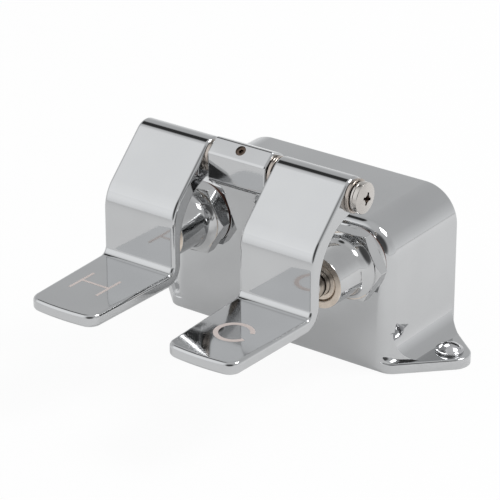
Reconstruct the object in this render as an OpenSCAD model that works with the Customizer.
// Double foot pedal tap valve for the floor below a basin.
// Two pedals hang on one hinge pin; each pushes the plunger of a spring-closed valve
// in a cast hood, the left one for hot water and the right one for cold.
// Frame: X across (hot is -X), -Y towards the foot, +Z up, millimetres.
// Origin: on the floor, in the middle of the part's outline.

/* [Hood] */
// Width of the hood across its side walls
hood_w = 122; // [118:1:136]
// Depth of the hood from its front to its back
hood_d = 57; // [55:1:70]
// Height of the hood
hood_h = 71.5; // [71:0.5:84]
// Thickness of the hood's walls
hood_wall = 4; // [3:0.5:4.5]
// Radius of the hood's upper side corners
crown_r = 17.5; // [14:0.5:20]
// Radius of the hood's upper front edge
brow_r = 7; // [4:0.5:9]
// Radius of the hood's upright edges at the floor
edge_r = 4; // [2:0.5:6]
// Bevel along the hood's upper back edge
back_bevel = 1.5; // [0.5:0.5:3]

/* [Floor ears] */
// Reach of each ear beyond the side wall
ear_reach = 25; // [22:1:32]
// Thickness of the ears
ear_t = 5; // [4:0.5:8]
// Radius of an ear's tip
ear_tip_r = 9; // [7:0.5:12]
// Radius of the cove between an ear and the side wall
ear_cove_r = 3; // [1:0.5:5]
// Distance of a floor screw from the side wall
ear_screw_x = 15; // [12:0.5:16]
// Diameter of a floor screw's shank
floor_shank_d = 5.8; // [4:0.2:7]
// Diameter of a floor screw's head
floor_head_d = 13; // [11:0.5:15]
// Rim of a floor screw's head
floor_rim_t = 1.2; // [0.8:0.1:2]
// Height of the crown on a floor screw's head
floor_dome_h = 2.8; // [2:0.2:4]

/* [Hinge] */
// Height of the hinge pin's axis
hinge_z = 97; // [94:0.5:110]
// Distance of the hinge pin's axis in front of the hood
hinge_y = 24.5; // [22:0.5:30]
// Diameter of the hinge pin
pin_d = 10; // [8:0.5:11]
// Length of the bracket's block along the pin
block_l = 31.6; // [28:0.2:36]
// Distance of the block's sloping face from the pin's axis
block_r = 9.1; // [8.5:0.1:10]
// Slope of the block's front face
block_slope = 38.5; // [30:0.5:45]
// Width of the bracket's arm
arm_w = 16.5; // [14:0.5:24]
// Radius of the hollow fillets between the block and the arm
arm_fillet_r = 6; // [3:0.5:7]
// Diameter of the set screw in the block
set_screw_d = 5; // [4:0.5:6]
// Diameter of a hinge screw's head
hinge_head_d = 14.4; // [12:0.2:16]
// Thickness of a hinge screw's head at its rim
hinge_head_t = 2.6; // [2:0.2:4]
// Rise of the hinge screw's face
hinge_dome_h = 0.9; // [0.4:0.1:1.5]
// Thickness of a hinge washer
washer_t = 1.2; // [0.8:0.1:2]

/* [Pedals] */
// Width of a pedal
pedal_w = 39.5; // [34:0.5:44]
// Thickness of a pedal's plate
plate_t = 6; // [5:0.25:7]
// Radius of the pedal's barrel round the pin
barrel_r = 8.3; // [8:0.1:9]
// Distance of the pedal's upright plate in front of the hood
plate_y = 55.3; // [53:0.5:62]
// Height of the bend between the sloping and the upright plate
bend_z = 78.9; // [76:0.5:84]
// Outer radius of that bend
bend_r = 18; // [10:1:22]
// Height of the toe plate's top
toe_z = 49.7; // [46:0.5:52]
// Distance of the toe plate's tip in front of the hood
toe_y = 112; // [100:1:125]
// Inner radius of the bend between the upright plate and the toe
toe_bend_r = 3.5; // [2:0.5:6]
// Narrowing of the toe plate on each side towards its tip
toe_taper = 1.6; // [0:0.1:3]
// Radius of the toe plate's corners
toe_corner_r = 6; // [3:0.5:9]
// Radius of the toe plate's bowed front edge
toe_bow_r = 110; // [80:5:200]
// Thickness of the cheeks behind the sloping plate
cheek_t = 4.5; // [3:0.5:7]
// Height at which a cheek's hollow back edge runs into the upright plate
cheek_z = 62; // [58:0.5:68]
// Wall of a pedal bush
bush_wall = 1.4; // [1:0.1:1.5]
// Thickness of a bush's flange
bush_flange_t = 1.8; // [1:0.1:2.5]
// Reach of a bush's flange beyond its wall
bush_flange_w = 1.4; // [0.8:0.1:1.6]
// Length of a bush inside the pedal
bush_l = 14; // [8:1:17]

/* [Valves] */
// Distance of each valve's axis from the middle
valve_x = 43.5; // [42:0.5:44]
// Height of the valves' axes
valve_z = 53.5; // [52:0.5:54]
// Distance of a bonnet's nose end in front of the hood
nose_y = 31; // [28:0.5:36]
// Diameter of a bonnet's nose
nose_d = 24.6; // [23.5:0.2:26]
// Width across flats of a bonnet's hexagon
hex_af = 32; // [29:0.5:33]
// Distance of the hexagon's front in front of the hood
hex_y = 9.5; // [8:0.5:12]
// Distance of the hexagon's back in front of the hood
hex_back_y = 3; // [2:0.5:5]
// Radius of the hollow shoulder between the nose and the hexagon
shoulder_r = 6; // [4:0.5:8]
// Thickness of the gasket between a bonnet and the hood
gasket_t = 0.8; // [0.5:0.1:1.5]
// Diameter of a bonnet's threaded neck
neck_d = 21; // [20:0.5:21.5]
// Diameter of a plunger
stem_d = 12; // [10:0.5:13]
// Radius of a plunger's domed end
stem_dome_r = 10; // [8:0.5:20]
// Diameter of a packing nut
nut_d = 18; // [17:0.5:19]
// Length of a packing nut
nut_l = 7; // [5:0.5:9]
// Depth of a packing nut's face inside the nose
nut_recess = 0.6; // [0.2:0.1:1.5]
// Length of the packing behind the nut
packing_l = 4.4; // [3:0.2:6]
// Stroke of a plunger
stroke = 4.86; // [4:0.02:5]

/* [Valve body] */
// Outer diameter of a valve barrel
chamber_od = 26; // [25:0.5:26]
// Diameter of a valve chamber
chamber_d = 19; // [17:0.5:20]
// Depth of the bonnet's neck inside the hood, from the hood's front
neck_y = 11; // [10:0.5:12]
// Depth of a valve seat's front, from the hood's front
seat_y = 21; // [20:0.5:22]
// Thickness of a valve seat
seat_t = 4; // [3:0.5:5]
// Diameter of the way through a seat
seat_bore_d = 10; // [8:0.5:11]
// Height of a seat's lip
seat_lip = 0.6; // [0.4:0.1:1]
// Thickness of a seat washer
seat_washer_t = 2.5; // [2:0.5:3]
// Diameter of a poppet
poppet_d = 14.8; // [14:0.2:15.6]
// Thickness of a poppet's disc
poppet_t = 3; // [2:0.5:4]
// Diameter of a poppet's rod
rod_d = 5; // [4:0.5:6]
// Depth of a valve chamber's end, from the hood's front
chamber_y = 44; // [43:0.5:46]
// Wall behind a valve chamber
chamber_wall = 4; // [3:0.5:5]
// Depth of the pipe ports' axes, from the hood's front
port_y = 34; // [33:0.5:36]
// Height of the ports' mouths above the floor
port_z = 8; // [5:0.5:12]
// Diameter of the ports, at the pipe thread's pitch line
port_d = 19.8; // [18:0.1:20.4]
// Depth of the ports
port_l = 18; // [14:0.5:22]
// Outer diameter of the port columns
column_d = 25; // [24:0.5:25.5]
// Diameter of the waterways
way_d = 8.6; // [7:0.2:9.6]
// Outer diameter of the mixing tube
mix_od = 16; // [14:0.5:16]
// Wire of a valve spring
wire_d = 1.2; // [1:0.1:1.4]
// Mean diameter of a valve spring
coil_d = 11.2; // [10.4:0.2:12]
// Turns of a valve spring
coil_n = 5; // [4:1:6]

/* [Hidden] */
$fn = 96;
form_fn = 48;          // facets round the hood's soft corners
eps = 0.01;

// Clearances
run_gap = 0.05;        // radial gap of a running or screwed fit
side_play = 0.3;       // play between faces that turn past one another
face_gap = 0.1;        // gap between a bush's flange and its pedal
hole_gap = 0.2;        // radial gap of a screw's clearance hole
tip_gap = 0.3;         // gap between a plunger and its pedal at rest
seal_gap = 0.05;       // gap between a seat's lip and its washer at rest
skim = 0.1;            // small step where a curve would otherwise only touch a face
inner_brow_r = 0.4;    // radius of the cavity's upper front edge
pin_head_t = 3;        // head of the hinge pin inside the hot pedal's barrel
pin_head_gap = 0.3;    // gap round and beyond that head
end_thread = 11;       // reach of the hinge screw into the pin
end_spare = 1;         // its hole runs on by this

HOT = -1;
COLD = 1;
hw = hood_w / 2;
frame_y = (hood_d - toe_y) / 2;   // middle of the outline, from the toes to the hood's back

// Hinge: H is the pin's axis in the Y-Z plane
hy = -hinge_y;
hz = hinge_z;
block_half = block_l / 2;
pedal_in = block_half + side_play + bush_flange_t + face_gap;
pedal_out = pedal_in + pedal_w;
pin_half = pedal_out + face_gap + bush_flange_t + side_play;
bush_r = pin_d / 2 + run_gap + bush_wall;
bush_flange_r = bush_r + bush_flange_w;
head_out = pedal_out - pin_head_gap;         // outer face of the pin's head
head_in = head_out - pin_head_t;

// Pedal: the sloping plate is tangent to the barrel and meets the upright plate at the bend
by = -plate_y;
slope_d = norm([hy - by, hz - bend_z]);
slope_r = barrel_r - skim / 2;   // the sloping face meets the barrel just inside its outline
slope = atan2(hz - bend_z, hy - by) + asin(slope_r / slope_d);
bend_cy = by + bend_r;
bend_cz = bend_z - bend_r * (1 - sin(slope)) / cos(slope);
toe_cy = by - toe_bend_r;
toe_cz = toe_z + toe_bend_r;
// Cheek: its hollow back edge is tangent to the upright plate's back and to the barrel
cheek_a = hy - (by + plate_t);
cheek_b = hz - cheek_z;
cheek_r = (pow(cheek_a, 2) + pow(cheek_b, 2) - pow(barrel_r, 2)) / (2 * (cheek_a + barrel_r));
cheek_cy = by + plate_t + cheek_r;
// Square to the sloping plate, and along it
plate_n = [-sin(slope), cos(slope)];
plate_d = [cos(slope), sin(slope)];

// Bracket: n is square to the block's sloping face, d is along it
pin_at = [hy, hz];
block_n = [-sin(block_slope), cos(block_slope)];
block_d = [cos(block_slope), sin(block_slope)];
face_low = 3.6;                    // reach of the sloping face in front of the pin's axis
face_high = 5.2;                   // and behind it
block_front = pin_at + block_r * block_n - face_low * block_d;
block_back = pin_at + block_r * block_n + face_high * block_d;
block_back_r = block_r - 3 * skim; // round behind the pin
crest = atan2((block_back - pin_at)[1], (block_back - pin_at)[0])
    - acos(block_back_r / norm(block_back - pin_at));
set_screw_shift = 1.4;             // the set screw sits this far up the sloping face
block_foot_z = hz - 8.9;
arm_front_y = hy - 8;
arm_foot_z = 14;
arm_pad_z = 50;
bracket_screw_z = [32, 47];
bracket_screw_d = 6;
bracket_screw_l = 5.5;             // reach of the screws into the bracket
bracket_head_d = 10;
bracket_head_h = 3.5;

// Valves: distances along +Y from the hood's front
stem_tip = by + plate_t + tip_gap;
hex_r = hex_af / 2 / cos(30);
flange_r = hex_af / 2 + 0.1;
rim_r = hex_af / 2 - 0.1;
neck_r = neck_d / 2;
nut_r = nut_d / 2;
stem_r = stem_d / 2;
nut_front = -nose_y + nut_recess;
packing_front = nut_front + nut_l;
packing_back = packing_front + packing_l;
seat_back = seat_y + seat_t + seat_lip;
washer_front = seat_back + seal_gap;
poppet_front = washer_front + seat_washer_t;
poppet_back = poppet_front + poppet_t;
chamber_r = chamber_d / 2;
mix_y = (neck_y + seat_y) / 2;
chrome = [0.78, 0.79, 0.8];
brass = [0.79, 0.66, 0.38];
steel = [0.6, 0.61, 0.63];
nickel = [0.72, 0.69, 0.66];

// Placing

// From the hood's front face to the part's own origin
module placed() { translate([0, -frame_y, 0]) children(); }

// A valve's axis: the children's +Z runs along +Y, from the hood's front
module on_valve(side) {
    translate([side * valve_x, 0, valve_z]) rotate([-90, 0, 0]) children();
}

// The pin's axis on one side: the children's +Z runs outwards along X
module on_pin(side) { translate([0, hy, hz]) rotate([0, side * 90, 0]) children(); }

// A Y-Z outline made solid from x0 to x1
module side_slab(x0, x1) {
    translate([x0, 0, 0]) rotate([90, 0, 90]) linear_extrude(x1 - x0) children();
}

// A ring about the local Z axis
module ring(r_out, r_in, z0, z1) {
    translate([0, 0, z0]) difference() {
        cylinder(r = r_out, h = z1 - z0);
        translate([0, 0, -1]) cylinder(r = r_in, h = z1 - z0 + 2);
    }
}

// A piece of disc between two angles
module sector(r, a0, a1) {
    intersection() {
        circle(r);
        polygon([[0, 0], 2 * r * [cos(a0), sin(a0)],
            2 * r * [cos((a0 + a1) / 2), sin((a0 + a1) / 2)], 2 * r * [cos(a1), sin(a1)]]);
    }
}

// Hood

// The hood's soft form, drawn in by w on every side but the floor
module hood_form(w, brow) {
    low_r = max(edge_r - w, 0.8);
    hull() for (s = [-1, 1]) {
        translate([s * (hw - crown_r), w + brow, hood_h - crown_r]) rotate([90, 0, 0])
            rotate_extrude($fn = form_fn) translate([crown_r - w - brow, 0])
                circle(brow, $fn = form_fn / 2);
        translate([s * (hw - crown_r), hood_d - w - back_bevel, hood_h - crown_r])
            rotate([-90, 0, 0]) cylinder(r1 = crown_r - w, r2 = crown_r - w - back_bevel,
                h = back_bevel, $fn = form_fn);
        for (y = [w + low_r, hood_d - w - low_r])
            translate([s * (hw - w - low_r), y, w > 0 ? -1 : 0])
                cylinder(r = low_r, h = 24, $fn = form_fn);
    }
}

// One ear seen from above: a triangle whose sides touch the round tip
module ear_plan() {
    c = [hw + ear_reach - ear_tip_r, hood_d / 2];
    p = [hw - 1, edge_r / 2];
    d = norm(c - p);
    a = atan2(c[1] - p[1], c[0] - p[0]) - asin(ear_tip_r / d);
    t = p + sqrt(d * d - ear_tip_r * ear_tip_r) * [cos(a), sin(a)];
    polygon([p, t, c, [t[0], hood_d - t[1]], [p[0], hood_d - p[1]]]);
    translate(c) circle(ear_tip_r + skim / 5);
}

module ear() {
    // The ear with its cove along the wall
    difference() {
        linear_extrude(ear_t + ear_cove_r) ear_plan();
        translate([hw + ear_cove_r, -1, ear_t]) cube([ear_reach, hood_d + 2, ear_cove_r + 1]);
        translate([hw + ear_cove_r, -1, ear_t + ear_cove_r]) rotate([-90, 0, 0])
            cylinder(r = ear_cove_r, h = hood_d + 2);
    }
}

module housing() {
    color(chrome) difference() {
        union() {
            hood_form(0, brow_r);
            for (s = [0, 1]) mirror([s, 0, 0]) ear();
        }
        hood_form(hood_wall, inner_brow_r);
        for (s = [HOT, COLD]) {
            on_valve(s) translate([0, 0, -1]) cylinder(r = neck_r + 2 * run_gap, h = hood_wall + 2);
            translate([s * (hw + ear_screw_x), hood_d / 2, -1])
                cylinder(d = floor_shank_d + 2 * hole_gap, h = ear_t + 2);
        }
        for (z = bracket_screw_z) translate([0, -1, z]) rotate([-90, 0, 0])
            cylinder(d = bracket_screw_d + 2 * hole_gap, h = hood_wall + 2);
    }
}

module floor_screws() {
    dome_r = (pow(floor_head_d / 2 - 0.5, 2) + pow(floor_dome_h, 2)) / (2 * floor_dome_h);
    slot_w = floor_head_d / 9;
    color(chrome) for (s = [HOT, COLD]) translate([s * (hw + ear_screw_x), hood_d / 2, 0]) {
        difference() {
            union() {
                translate([0, 0, eps]) cylinder(d = floor_shank_d, h = ear_t);
                translate([0, 0, ear_t]) cylinder(d = floor_head_d, h = floor_rim_t);
                intersection() {
                    translate([0, 0, ear_t + floor_rim_t + floor_dome_h - dome_r]) sphere(dome_r);
                    translate([0, 0, ear_t + floor_rim_t])
                        cylinder(d = floor_head_d, h = floor_dome_h + 1);
                }
            }
            rotate(20) translate([-slot_w / 2, -floor_head_d, ear_t + floor_rim_t + floor_dome_h * 0.4])
                cube([slot_w, 2 * floor_head_d, floor_dome_h]);
        }
    }
}

// Hinge

// The bracket's block from the side: a sloping face in front, round behind the pin
module block_profile() {
    back_r = block_back_r;
    translate(pin_at) circle(back_r + skim / 5);
    polygon([block_front, block_back, pin_at + back_r * [cos(crest), sin(crest)],
        [hy + 0.8 * back_r, hz], [hy + back_r, block_foot_z],
        [arm_front_y, block_foot_z], [block_front[0] + 0.4, block_foot_z + 2]]);
}

// The arm from the side, from inside the block down to its pad on the hood
module arm_profile() {
    polygon([[arm_front_y, block_foot_z], [arm_front_y + 1, block_foot_z + 3],
        [hy + block_back_r - 1, block_foot_z + 3], [hy + block_back_r, block_foot_z],
        [-5, arm_pad_z + 16], [0, arm_pad_z], [0, arm_foot_z]]);
}

// The arm from the front, with hollow fillets below the block
module arm_front() {
    r = arm_fillet_r;
    foot = block_foot_z - skim;
    translate([-arm_w / 2, 0]) square([arm_w, hz]);
    difference() {
        translate([-arm_w / 2 - r, foot - r]) square([arm_w + 2 * r, r + 1]);
        for (s = [-1, 1]) translate([s * (arm_w / 2 + r + skim), foot - r]) circle(r);
    }
}

module hinge_bracket() {
    color(chrome) difference() {
        union() {
            side_slab(-block_half, block_half) block_profile();
            intersection() {
                side_slab(-block_half, block_half) arm_profile();
                rotate([90, 0, 0]) linear_extrude(toe_y) arm_front();
            }
        }
        translate([-block_half - 1, hy, hz]) rotate([0, 90, 0])
            cylinder(r = pin_d / 2 + run_gap, h = block_l + 2);
        translate([0, hy, hz]) rotate([block_slope, 0, 0]) translate([0, set_screw_shift, 0])
            cylinder(d = set_screw_d, h = block_r + 2);
        for (z = bracket_screw_z) translate([0, 1, z]) rotate([90, 0, 0])
            cylinder(d = bracket_screw_d + 2 * run_gap, h = bracket_screw_l + 1.5);
    }
}

module bracket_screws() {
    color(steel) for (z = bracket_screw_z) translate([0, hood_wall, z]) rotate([90, 0, 0]) {
        cylinder(d = bracket_screw_d, h = hood_wall + bracket_screw_l);
        difference() {
            translate([0, 0, -bracket_head_h]) cylinder(d = bracket_head_d, h = bracket_head_h);
            translate([0, 0, -bracket_head_h - 1])
                cylinder(d = bracket_screw_d, h = bracket_head_h * 0.5 + 1, $fn = 6);
        }
    }
}

// The pin, with a head inside the hot pedal's barrel and a thread for the screw at the cold end
module hinge_pin() {
    color(steel) difference() {
        union() {
            translate([-head_in - eps, hy, hz]) rotate([0, 90, 0])
                cylinder(d = pin_d, h = head_in + eps + pin_half);
            on_pin(HOT) translate([0, 0, head_in]) cylinder(r = bush_r - run_gap - pin_head_gap / 2,
                h = pin_head_t);
        }
        on_pin(COLD) translate([0, 0, pin_half - end_thread - end_spare])
            cylinder(d = pin_d / 2 + 2 * run_gap, h = end_thread + 2 * end_spare);
    }
}

module pin_set_screw() {
    color(steel) translate([0, hy, hz]) rotate([block_slope, 0, 0])
    translate([0, set_screw_shift, 0]) difference() {
        translate([0, 0, pin_d / 2 + run_gap])
            cylinder(d = set_screw_d - 2 * run_gap, h = block_r - pin_d / 2 - 0.8);
        translate([0, 0, block_r - 1.8]) cylinder(d = set_screw_d / 2, h = 3, $fn = 6);
    }
}

module hinge_washer() {
    color(nickel) on_pin(COLD)
        ring(hinge_head_d / 2 - 0.3, pin_d / 4 + hole_gap, pin_half, pin_half + washer_t);
}

module hinge_screw() {
    r = hinge_head_d / 2;
    dome_r = (pow(r - 0.6, 2) + pow(hinge_dome_h, 2)) / (2 * hinge_dome_h);
    z1 = pin_half + washer_t;
    z2 = z1 + hinge_head_t;
    cross_l = hinge_head_d * 0.4;
    cross_w = hinge_head_d * 0.09;
    cross_deep = hinge_head_t * 0.6;
    color(nickel) on_pin(COLD) difference() {
        union() {
            translate([0, 0, pin_half - end_thread])
                cylinder(d = pin_d / 2, h = end_thread + washer_t + end_spare);
            translate([0, 0, z1]) cylinder(r = r, h = hinge_head_t);
            intersection() {
                translate([0, 0, z2 + hinge_dome_h - dome_r]) sphere(dome_r);
                translate([0, 0, z2]) cylinder(r = r, h = hinge_dome_h + 1);
            }
        }
        for (a = [20, 110]) rotate(a) translate([-cross_l / 2, -cross_w / 2, z2 - cross_deep])
            cube([cross_l, cross_w, cross_deep + hinge_dome_h + 1]);
        translate([0, 0, z2 - cross_deep - 0.4])
            cylinder(r1 = cross_w * 0.7, r2 = cross_w * 1.5, h = cross_deep * 2);
    }
}

// Pedals

// A pedal's plate from the side, from the barrel down to the toe's bend
module pedal_profile() {
    bend_c = [bend_cy, bend_cz];
    half = (90 - slope) / 2;
    inner = (bend_r - plate_t) / cos(half);
    mid = bend_r - plate_t / 2;
    lap = 8;
    run = sqrt(pow(slope_d, 2) - pow(slope_r, 2)) - bend_r * tan(half);
    translate([hy, hz]) circle(barrel_r);
    // Both plates with a cut corner, and the rounds of the bend over and under it
    polygon([[by, toe_cz], [by, bend_cz], bend_c + bend_r * plate_n,
        bend_c + bend_r * plate_n + run * plate_d,
        bend_c + (bend_r - plate_t) * plate_n + run * plate_d,
        bend_c + inner * [-cos(half), sin(half)], [by + plate_t, toe_cz]]);
    translate(bend_c) {
        difference() {
            sector(bend_r + skim / 5, 90 + slope - lap, 180 + lap);
            circle(mid);
        }
        difference() {
            polygon([[0, 0], mid * plate_n, [-mid, 0]]);
            circle(bend_r - plate_t + skim / 5);
        }
    }
    // Bend into the toe
    translate([toe_cy, toe_cz]) difference() {
        sector(toe_bend_r + plate_t, -90, 0);
        circle(toe_bend_r);
    }
}

// A cheek from the side: it fills the bend and has a hollow back edge
module cheek_profile() {
    difference() {
        polygon([[hy, hz], [cheek_cy, cheek_z], [by + plate_t, cheek_z],
            [by + plate_t / 2, cheek_z], [by + plate_t / 2, bend_cz],
            [bend_cy, bend_cz] + (bend_r - plate_t / 2) * plate_n,
            [hy, hz] + (barrel_r - plate_t / 2) * plate_n]);
        translate([cheek_cy, cheek_z]) circle(cheek_r + skim);
    }
}

// The toe plate from above, from its bend to the tip: round corners run into a bowed edge
module toe_plan() {
    w0 = pedal_w / 2;
    w1 = w0 - toe_taper;
    cr = toe_corner_r;
    bow_c = [0, toe_bow_r - toe_y];
    corner_x = w1 - cr;
    corner_y = bow_c[1] - sqrt(pow(toe_bow_r - cr + skim / 5, 2) - pow(corner_x, 2));
    side_x = w1 - skim / 5;
    out = [corner_x, corner_y] - bow_c;
    translate([(pedal_in + pedal_out) / 2, 0]) {
        polygon([[-w0, toe_cy], [-side_x, corner_y], [-corner_x, corner_y - cr / 2],
            [corner_x, corner_y - cr / 2], [side_x, corner_y], [w0, toe_cy]]);
        for (s = [-1, 1]) translate([s * corner_x, corner_y]) circle(cr);
        intersection() {
            translate(bow_c) circle(toe_bow_r, $fn = 360);
            polygon([[-corner_x, corner_y], bow_c + 1.5 * [-out[0], out[1]],
                bow_c + 1.5 * out, [corner_x, corner_y]]);
        }
    }
}

module pedal(side) {
    color(chrome) mirror([side < 0 ? 1 : 0, 0, 0]) difference() {
        union() {
            side_slab(pedal_in, pedal_out) pedal_profile();
            side_slab(pedal_in, pedal_in + cheek_t) cheek_profile();
            side_slab(pedal_out - cheek_t, pedal_out) cheek_profile();
            translate([0, 0, toe_z - plate_t]) linear_extrude(plate_t) toe_plan();
        }
        on_pin(COLD) translate([0, 0, pedal_in - 1]) cylinder(r = bush_r + run_gap, h = pedal_w + 2);
    }
}

// A flanged bush: the children's origin is the barrel's end, +Z runs into the barrel
module flanged_bush() {
    difference() {
        union() {
            cylinder(r = bush_r, h = bush_l);
            translate([0, 0, -face_gap - bush_flange_t]) {
                cylinder(r = bush_flange_r, h = bush_flange_t);
                cylinder(r = bush_r, h = bush_flange_t + face_gap + 1);
            }
        }
        translate([0, 0, -bush_flange_t - 1])
            cylinder(r = pin_d / 2 + run_gap, h = bush_l + bush_flange_t + 2);
    }
}

// Two bushes in a barrel; the hot side's outer one is plain and sits behind the pin's head
module pedal_bushes(side) {
    plain_end = head_in - side_play;
    color(brass) on_pin(side) {
        translate([0, 0, pedal_in]) flanged_bush();
        if (side == COLD) translate([0, 0, pedal_out]) mirror([0, 0, 1]) flanged_bush();
        else ring(bush_r, pin_d / 2 + run_gap, plain_end - bush_l, plain_end);
    }
}

// Valves

// A bonnet's turned outline; the hollow shoulder is cut by a ring
module bonnet_turning() {
    neck = neck_y;
    nr = nose_d / 2;
    rotate_extrude() difference() {
        polygon([[0, -nose_y], [nr - 0.6, -nose_y], [nr, -nose_y + 0.6],
            [nr, -hex_y - shoulder_r], [rim_r, -hex_y - shoulder_r + 1], [rim_r, -hex_y],
            [flange_r, -hex_back_y], [flange_r, -gasket_t], [neck_r, -gasket_t],
            [neck_r, neck - 0.6], [neck_r - 0.6, neck], [0, neck]]);
        translate([nr + shoulder_r, -hex_y - shoulder_r + 0.6]) circle(shoulder_r);
        translate([nr, -hex_y - 2 * shoulder_r]) square([2 * shoulder_r, shoulder_r + 0.6]);
    }
}

module bonnet(side) {
    color(chrome) on_valve(side) difference() {
        union() {
            bonnet_turning();
            intersection() {
                translate([0, 0, -hex_y]) cylinder(r = hex_r, h = hex_y - hex_back_y + 0.8, $fn = 6);
                rotate_extrude() polygon([[0, -hex_y], [rim_r, -hex_y], [hex_r, -hex_y + 1.4],
                    [hex_r, -hex_back_y - 0.6], [flange_r - 0.1, -hex_back_y + 0.8], [0, -hex_back_y + 0.8]]);
            }
        }
        translate([0, 0, -nose_y - 1]) cylinder(r = stem_r + run_gap, h = nose_y + neck_y + 2);
        translate([0, 0, -nose_y - 1]) cylinder(r = nut_r + run_gap, h = nose_y + packing_back + 1);
    }
}

module bonnet_gasket(side) {
    color("dimgray") on_valve(side) ring(flange_r - 0.4, neck_r + 2 * run_gap, -gasket_t, 0);
}

module packing_nut(side) {
    lead = 2;
    color(brass) on_valve(side) difference() {
        union() {
            translate([0, 0, nut_front]) cylinder(r = nut_r - 0.6, h = nut_l);
            translate([0, 0, nut_front + lead]) cylinder(r = nut_r, h = nut_l - lead);
        }
        translate([0, 0, nut_front - 1]) cylinder(r = stem_r + run_gap, h = nut_l + 2);
    }
}

module packing(side) {
    color("gray") on_valve(side) ring(nut_r, stem_r + run_gap, packing_front, packing_back);
}

module seat(side) {
    color(brass) on_valve(side) {
        ring(chamber_r - run_gap, seat_bore_d / 2, seat_y, seat_y + seat_t);
        ring(seat_bore_d / 2 + 1.3, seat_bore_d / 2, seat_y + seat_t - eps, seat_back);
    }
}

// The plunger: a plain rod with a domed end towards the pedal
module stem(side) {
    l = neck_y - stem_tip;
    color(chrome) on_valve(side) translate([0, 0, stem_tip]) intersection() {
        cylinder(r = stem_r, h = l);
        union() {
            translate([0, 0, stem_dome_r]) sphere(stem_dome_r);
            translate([0, 0, stem_dome_r]) cylinder(r = stem_r + 1, h = l);
        }
    }
}

module poppet(side) {
    color(brass) on_valve(side) {
        translate([0, 0, neck_y]) cylinder(d = rod_d, h = poppet_front - neck_y + eps);
        translate([0, 0, poppet_front]) cylinder(d = poppet_d, h = poppet_t);
        translate([0, 0, poppet_back - eps]) cylinder(d = coil_d - wire_d - 0.8, h = 2.4);
    }
}

module seat_washer(side) {
    color("black") on_valve(side)
        ring(poppet_d / 2, rod_d / 2 + run_gap, washer_front, poppet_front);
}

// A round wire wound as a helix: hexagonal rings, eight to a turn, skinned in triangles
module spring(side) {
    n = coil_n * 8;
    z0 = poppet_back + wire_d / 2 + run_gap;
    z1 = chamber_y - wire_d / 2 - run_gap;
    pitch_a = atan2(z1 - z0, PI * coil_d * coil_n);
    pts = [for (i = [0:n]) let (a = 45 * i, z = z0 + (z1 - z0) * i / n) for (k = [0:5])
        let (u = wire_d / 2 * cos(60 * k), v = wire_d / 2 * sin(60 * k), r = coil_d / 2 + u)
        [r * cos(a) + v * sin(pitch_a) * sin(a), r * sin(a) - v * sin(pitch_a) * cos(a),
            z + v * cos(pitch_a)]];
    skin = [for (i = [0:n - 1]) for (k = [0:5]) let (p = 6 * i + k, q = 6 * i + (k + 1) % 6)
        for (f = [[p, p + 6, q], [q, p + 6, q + 6]]) f];
    ends = [for (k = [1:4]) for (f = [[0, k, k + 1], [6 * n, 6 * n + k + 1, 6 * n + k]]) f];
    color(steel) on_valve(side) polyhedron(pts, concat(skin, ends));
}

// Valve body

// A column that leads down to a pipe port
module port_column(x) {
    translate([x, port_y, port_z]) cylinder(d = column_d, h = valve_z - port_z);
}

// The thread and the waterway inside such a column
module port_ways(x) {
    translate([x, port_y, port_z - 1]) {
        cylinder(d = port_d, h = port_l + 1);
        cylinder(d = way_d, h = valve_z - port_z + 1);
    }
}

// A valve's barrel with its inlet column
module valve_barrel(side) {
    color(brass) difference() {
        union() {
            on_valve(side) translate([0, 0, hood_wall])
                cylinder(d = chamber_od, h = chamber_y + chamber_wall - hood_wall);
            port_column(side * valve_x);
        }
        on_valve(side) translate([0, 0, hood_wall - 1]) {
            cylinder(r = neck_r + run_gap, h = neck_y - hood_wall + 1);
            cylinder(r = chamber_r, h = chamber_y - hood_wall + 1);
        }
        cross_tube(way_d, chamber_r - 1);
        port_ways(side * valve_x);
    }
}

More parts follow.
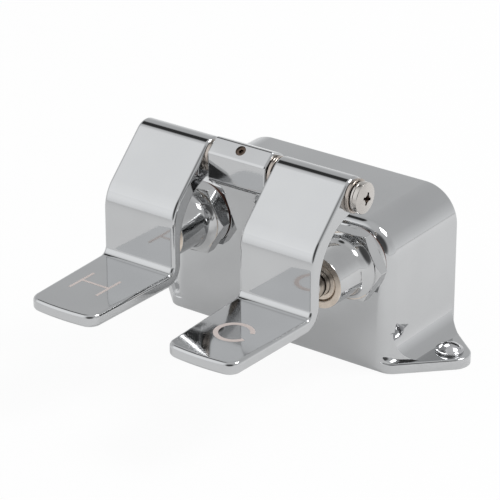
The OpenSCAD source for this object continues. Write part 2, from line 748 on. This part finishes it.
// The tee between the barrels: its ends sit round them, its column holds the outlet
module mixing_tee() {
    color(brass) difference() {
        union() {
            cross_tube(mix_od, 0);
            back_tube(mix_od - 1);
            port_column(0);
            translate([0, port_y, valve_z - 1])
                cylinder(d1 = column_d, d2 = column_d - 3, h = mix_od / 2 + 3);
        }
        for (s = [HOT, COLD]) on_valve(s)
            cylinder(r = chamber_od / 2 + run_gap, h = chamber_y);
        cross_tube(way_d, chamber_r - 1);
        back_tube(way_d - 0.4);
        port_ways(0);
    }
}

// The tube across between the chambers
module cross_tube(d, short) {
    l = 2 * (valve_x - short);
    translate([-l / 2, mix_y, valve_z]) rotate([0, 90, 0]) cylinder(d = d, h = l);
}

// The tube from its middle back to the middle port
module back_tube(d) {
    translate([0, mix_y, valve_z]) rotate([-90, 0, 0]) cylinder(d = d, h = port_y - mix_y);
}

placed() housing();
placed() mixing_tee();
placed() hinge_bracket();
placed() bracket_screws();
placed() hinge_pin();
placed() pin_set_screw();
placed() floor_screws();
placed() hinge_screw();
placed() hinge_washer();
placed() valve_barrel(HOT);  // hot_valve_barrel
placed() bonnet(HOT);  // hot_bonnet
placed() bonnet_gasket(HOT);  // hot_bonnet_gasket
placed() packing_nut(HOT);  // hot_packing_nut
placed() packing(HOT);  // hot_packing
placed() seat(HOT);  // hot_seat
placed() spring(HOT);  // hot_spring
placed() stem(HOT);  // hot_stem
placed() poppet(HOT);  // hot_poppet
placed() seat_washer(HOT);  // hot_seat_washer
placed() pedal(HOT);  // hot_pedal
placed() pedal_bushes(HOT);  // hot_pedal_bushes
placed() valve_barrel(COLD);  // cold_valve_barrel
placed() bonnet(COLD);  // cold_bonnet
placed() bonnet_gasket(COLD);  // cold_bonnet_gasket
placed() packing_nut(COLD);  // cold_packing_nut
placed() packing(COLD);  // cold_packing
placed() seat(COLD);  // cold_seat
placed() spring(COLD);  // cold_spring
placed() stem(COLD);  // cold_stem
placed() poppet(COLD);  // cold_poppet
placed() seat_washer(COLD);  // cold_seat_washer
placed() pedal(COLD);  // cold_pedal
placed() pedal_bushes(COLD);  // cold_pedal_bushes
